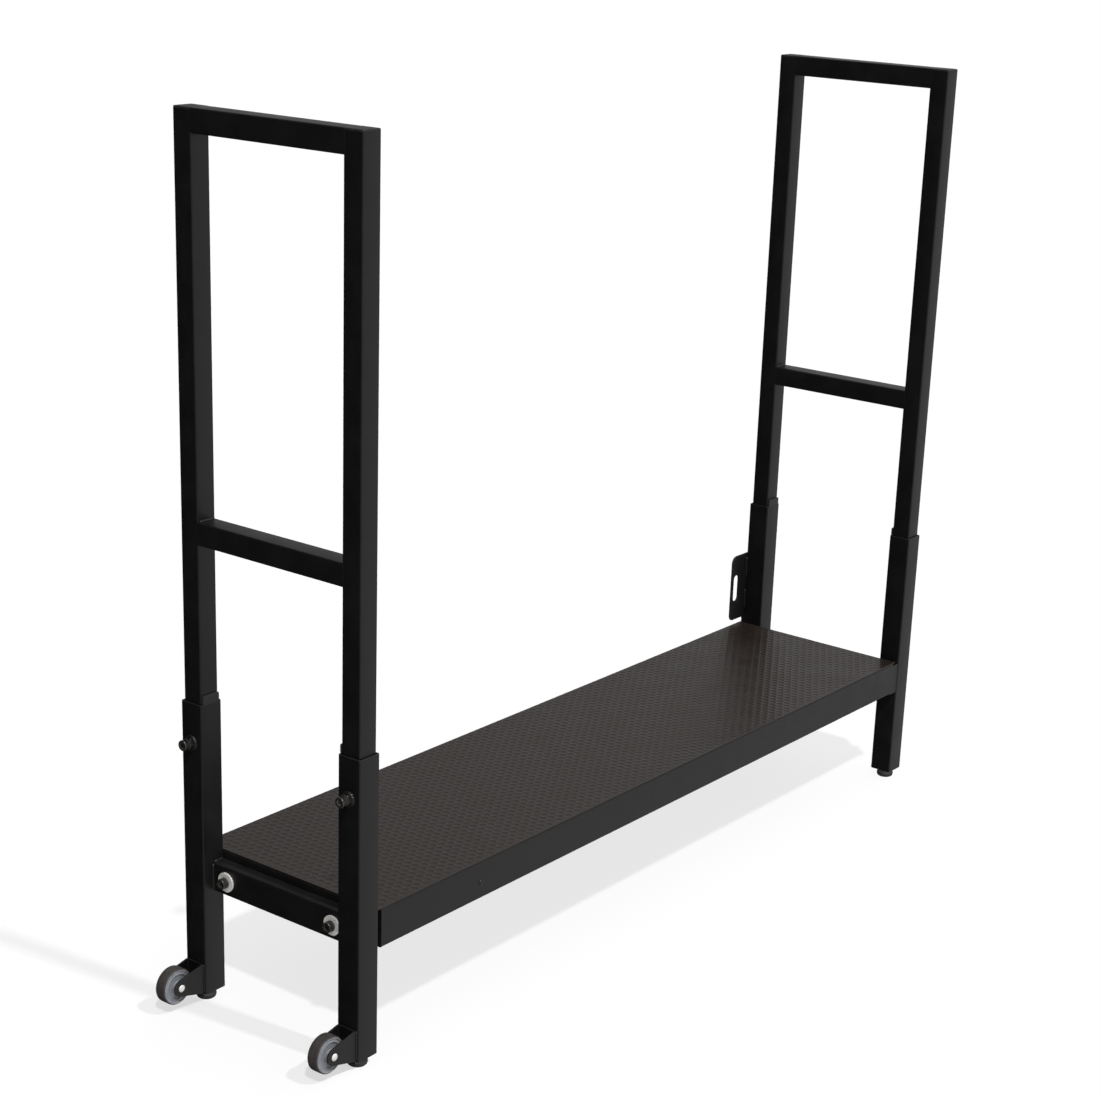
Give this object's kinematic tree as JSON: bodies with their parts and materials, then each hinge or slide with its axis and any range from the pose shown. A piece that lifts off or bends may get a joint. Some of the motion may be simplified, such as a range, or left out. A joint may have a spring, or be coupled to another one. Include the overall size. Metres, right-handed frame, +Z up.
{
  "type": "firewood log rack",
  "caption": "Long steel firewood rack with a textured shelf, telescoping end frames held by clamp screws, levelling feet, and tilt wheels at one end.",
  "frame": {"origin": "middle of the bounding box, on the floor under the levelling feet", "axes": "+X along the shelf away from the wheels, +Y to the back, the side of the hook plate, +Z up"},
  "size_m": [1.5912, 0.3484, 1.299],
  "materials": {
    "black_steel": "satin black powder coat",
    "shelf_steel": "satin black powder coat over a fine raised tread",
    "black_zinc": "blackened socket screw, bright at the rim",
    "bright_zinc": "bright zinc plate",
    "black_plastic": "matte moulded nylon",
    "black_rubber": "matte rubber",
    "tread_rubber": "matte dark grey tyre",
    "wheel_plastic": "satin pale grey plastic"
  },
  "bodies": {
    "base": {"near_back_leg": "black_steel", "near_back_guide_strip": "black_plastic", "near_back_clamp_nut": "black_steel", "near_back_leg_insert": "black_plastic", "near_front_leg": "black_steel", "near_front_guide_strip": "black_plastic", "near_front_clamp_nut": "black_steel", "near_front_leg_insert": "black_plastic", "near_rail": "black_steel", "near_shelf_rib": "black_steel", "far_back_leg": "black_steel", "far_back_guide_strip": "black_plastic", "far_back_clamp_nut": "black_steel", "far_back_leg_insert": "black_plastic", "far_front_leg": "black_steel", "far_front_guide_strip": "black_plastic", "far_front_clamp_nut": "black_steel", "far_front_leg_insert": "black_plastic", "far_rail": "black_steel", "far_shelf_rib": "black_steel", "shelf_tray": "black_steel", "tread_sheet": "shelf_steel", "hook_plate": "black_steel", "skirt_plug": "black_steel", "rail_washer_back": "bright_zinc", "rail_nut_back": "bright_zinc", "rail_bolt_back": "black_zinc", "back_wheel_bracket": "black_steel", "back_wheel_axle": "bright_zinc", "rail_washer_front": "bright_zinc", "rail_nut_front": "bright_zinc", "rail_bolt_front": "black_zinc", "front_wheel_bracket": "black_steel", "front_wheel_axle": "bright_zinc"},
    "near_frame": {"near_back_post": "black_steel", "near_back_post_cap": "black_plastic", "near_front_post": "black_steel", "near_front_post_cap": "black_plastic", "near_top_bar": "black_steel", "near_rung": "black_steel"},
    "far_frame": {"far_back_post": "black_steel", "far_back_post_cap": "black_plastic", "far_front_post": "black_steel", "far_front_post_cap": "black_plastic", "far_top_bar": "black_steel", "far_rung": "black_steel"},
    "near_back_clamp_screw": {"near_back_clamp_screw": "black_zinc"},
    "near_front_clamp_screw": {"near_front_clamp_screw": "black_zinc"},
    "far_back_clamp_screw": {"far_back_clamp_screw": "black_zinc"},
    "far_front_clamp_screw": {"far_front_clamp_screw": "black_zinc"},
    "near_back_levelling_foot": {"near_back_levelling_foot": "black_rubber"},
    "near_front_levelling_foot": {"near_front_levelling_foot": "black_rubber"},
    "far_back_levelling_foot": {"far_back_levelling_foot": "black_rubber"},
    "far_front_levelling_foot": {"far_front_levelling_foot": "black_rubber"},
    "back_wheel": {"back_wheel_core": "wheel_plastic", "back_wheel_tyre": "tread_rubber"},
    "front_wheel": {"front_wheel_core": "wheel_plastic", "front_wheel_tyre": "tread_rubber"}
  },
  "joints": [
    {"name": "near_frame_height", "type": "slide", "parent": "base", "child": "near_frame", "axis": [0, 0, 1], "range_m": [-0.15, 0.15]},
    {"name": "far_frame_height", "type": "slide", "parent": "base", "child": "far_frame", "axis": [0, 0, 1], "range_m": [-0.15, 0.15]},
    {"name": "near_back_clamp_screw_turn", "type": "hinge", "parent": "base", "child": "near_back_clamp_screw", "pos_m": [-0.7312, 0.15085, 0.4105], "axis": [-1, 0, 0], "range_deg": [0, 360]},
    {"name": "near_front_clamp_screw_turn", "type": "hinge", "parent": "base", "child": "near_front_clamp_screw", "pos_m": [-0.7312, -0.15395, 0.4105], "axis": [-1, 0, 0], "range_deg": [0, 360]},
    {"name": "far_back_clamp_screw_turn", "type": "hinge", "parent": "base", "child": "far_back_clamp_screw", "pos_m": [0.7848, 0.15085, 0.4105], "axis": [1, 0, 0], "range_deg": [0, 360]},
    {"name": "far_front_clamp_screw_turn", "type": "hinge", "parent": "base", "child": "far_front_clamp_screw", "pos_m": [0.7848, -0.15395, 0.4105], "axis": [1, 0, 0], "range_deg": [0, 360]},
    {"name": "near_back_levelling_foot_height", "type": "slide", "parent": "base", "child": "near_back_levelling_foot", "axis": [0, 0, -1], "range_m": [0, 0.012]},
    {"name": "near_front_levelling_foot_height", "type": "slide", "parent": "base", "child": "near_front_levelling_foot", "axis": [0, 0, -1], "range_m": [0, 0.012]},
    {"name": "far_back_levelling_foot_height", "type": "slide", "parent": "base", "child": "far_back_levelling_foot", "axis": [0, 0, -1], "range_m": [0, 0.012]},
    {"name": "far_front_levelling_foot_height", "type": "slide", "parent": "base", "child": "far_front_levelling_foot", "axis": [0, 0, -1], "range_m": [0, 0.012]},
    {"name": "back_wheel_spin", "type": "hinge", "parent": "base", "child": "back_wheel", "pos_m": [-0.76785, 0.15085, 0.0425], "axis": [0, 1, 0], "continuous": true},
    {"name": "front_wheel_spin", "type": "hinge", "parent": "base", "child": "front_wheel", "pos_m": [-0.76785, -0.15395, 0.0425], "axis": [0, 1, 0], "continuous": true}
  ]
}
